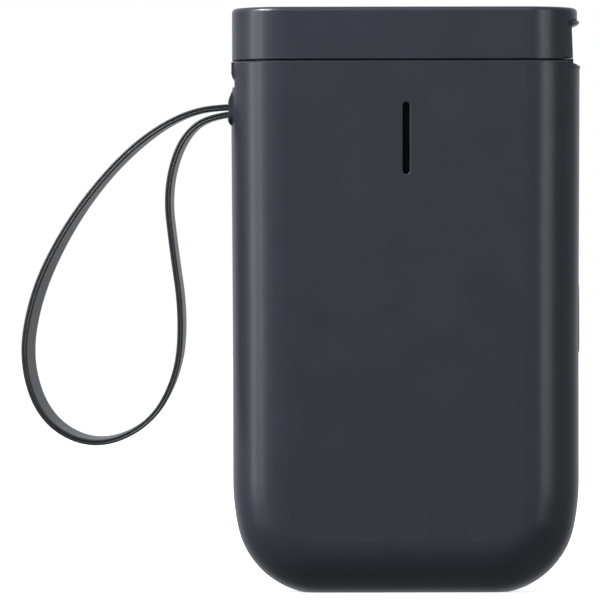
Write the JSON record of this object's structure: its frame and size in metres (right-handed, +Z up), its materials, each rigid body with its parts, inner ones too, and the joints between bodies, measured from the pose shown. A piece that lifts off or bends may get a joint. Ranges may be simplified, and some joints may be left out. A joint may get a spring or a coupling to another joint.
{
  "type": "label maker",
  "caption": "Upright pocket label maker with a hinged lid, sight slot, label exit, side button and a looped wrist strap.",
  "frame": {"origin": "middle of the flat base", "axes": "+Z up through the lid; +X towards the label exit, away from the strap; the front with the sight slot faces -Y"},
  "size_m": [0.122, 0.0274, 0.1279],
  "materials": {
    "case_plastic": "fine-textured charcoal case plastic",
    "plate": "blank satin foil",
    "black_steel": "black-oxide steel",
    "steel": "turned or stamped steel",
    "lens": "smoked clear lens",
    "chassis_plastic": "moulded black nylon",
    "ceramic": "glazed heater strip",
    "aluminium": "extruded aluminium",
    "white_plastic": "natural acetal",
    "tin": "tinned shield",
    "card": "wound card core",
    "paper": "white label stock",
    "lid_plastic": "fine-textured charcoal case plastic",
    "rubber": "ground silicone roller",
    "strap": "coated strap with sealed edges",
    "board": "solder-masked circuit board",
    "chip": "moulded component packages",
    "light": "clear light pipe",
    "cell": "pouch cell film",
    "foam": "adhesive foam",
    "wire_skin": "lead insulation",
    "ribbon": "flat flexible cable"
  },
  "bodies": {
    "housing": {"front_housing": "case_plastic", "rear_housing": "case_plastic", "rating_plate": "plate", "case_screws": "black_steel", "deck_screws": "steel", "sight_lens": "lens", "label_bay": "chassis_plastic", "hinge_pin": "steel", "head_pivot_pin": "steel", "head_springs": "steel", "spring_shelf": "steel", "motor_plate": "steel", "motor_can": "tin", "gear_posts": "steel", "label_web": "paper", "strap_anchor": "chassis_plastic", "strap_clamp": "steel", "wrist_strap": "strap", "main_board": "board", "board_chips": "chip", "radio_can": "tin", "usb_port": "tin", "power_switch": "chip", "status_led": "white_plastic", "light_pipe": "light", "battery": "cell", "battery_pad": "foam", "battery_leads": "wire_skin", "battery_plug": "white_plastic", "motor_leads": "wire_skin", "motor_socket": "white_plastic", "head_ribbon": "ribbon", "ribbon_socket": "white_plastic", "label_sensor": "chip", "tag_reader": "board"},
    "lid": {"lid_shell": "lid_plastic", "lid_frame": "chassis_plastic", "lid_screws": "steel", "tear_bar": "black_steel", "platen_bushes": "white_plastic"},
    "platen": {"platen_shaft": "steel", "platen_rubber": "rubber", "platen_gear": "white_plastic"},
    "print_head_carrier": {"print_head": "ceramic", "head_heatsink": "aluminium"},
    "label_stock": {"label_core": "card", "label_roll": "paper"},
    "upper_idler": {"upper_idler_gear": "white_plastic"},
    "lower_idler": {"lower_idler_gear": "white_plastic"},
    "motor_rotor": {"motor_shaft": "steel", "motor_pinion": "white_plastic"},
    "button": {"power_button": "case_plastic"}
  },
  "joints": [
    {"name": "lid_hinge", "type": "hinge", "parent": "housing", "child": "lid", "pos_m": [-0.0363, 0, 0.1138], "axis": [0, -1, 0], "range_deg": [0, 95]},
    {"name": "label_roll_spin", "type": "hinge", "parent": "housing", "child": "label_stock", "pos_m": [0, 0, 0.091], "axis": [0, -1, 0], "continuous": true},
    {"name": "platen_spin", "type": "hinge", "parent": "lid", "child": "platen", "pos_m": [0.024, 0, 0.12065], "axis": [0, -1, 0], "continuous": true},
    {"name": "upper_idler_spin", "type": "hinge", "parent": "housing", "child": "upper_idler", "pos_m": [0.02484, 0, 0.11263], "axis": [0, -1, 0], "continuous": true},
    {"name": "lower_idler_spin", "type": "hinge", "parent": "housing", "child": "lower_idler", "pos_m": [0.02438, 0, 0.10358], "axis": [0, -1, 0], "continuous": true},
    {"name": "motor_spin", "type": "hinge", "parent": "housing", "child": "motor_rotor", "pos_m": [0.02719, 0, 0.09656], "axis": [0, -1, 0], "continuous": true},
    {"name": "print_head_pivot", "type": "hinge", "parent": "housing", "child": "print_head_carrier", "pos_m": [0.0226, 0, 0.1129], "axis": [0, 1, 0], "range_deg": [0, 2.5], "stiffness_Nm_per_rad": 0.5, "deforming": ["head_springs"]},
    {"name": "power_button_press", "type": "slide", "parent": "housing", "child": "button", "axis": [-1, 0, 0], "range_m": [0, 0.0004], "stiffness_N_per_m": 600}
  ],
  "couplings": [
    {"joint": "platen_spin", "follows": "label_roll_spin", "ratio": -4.6842},
    {"joint": "upper_idler_spin", "follows": "label_roll_spin", "ratio": 3.6433},
    {"joint": "lower_idler_spin", "follows": "label_roll_spin", "ratio": -3.6433},
    {"joint": "motor_spin", "follows": "label_roll_spin", "ratio": 5.4649}
  ]
}
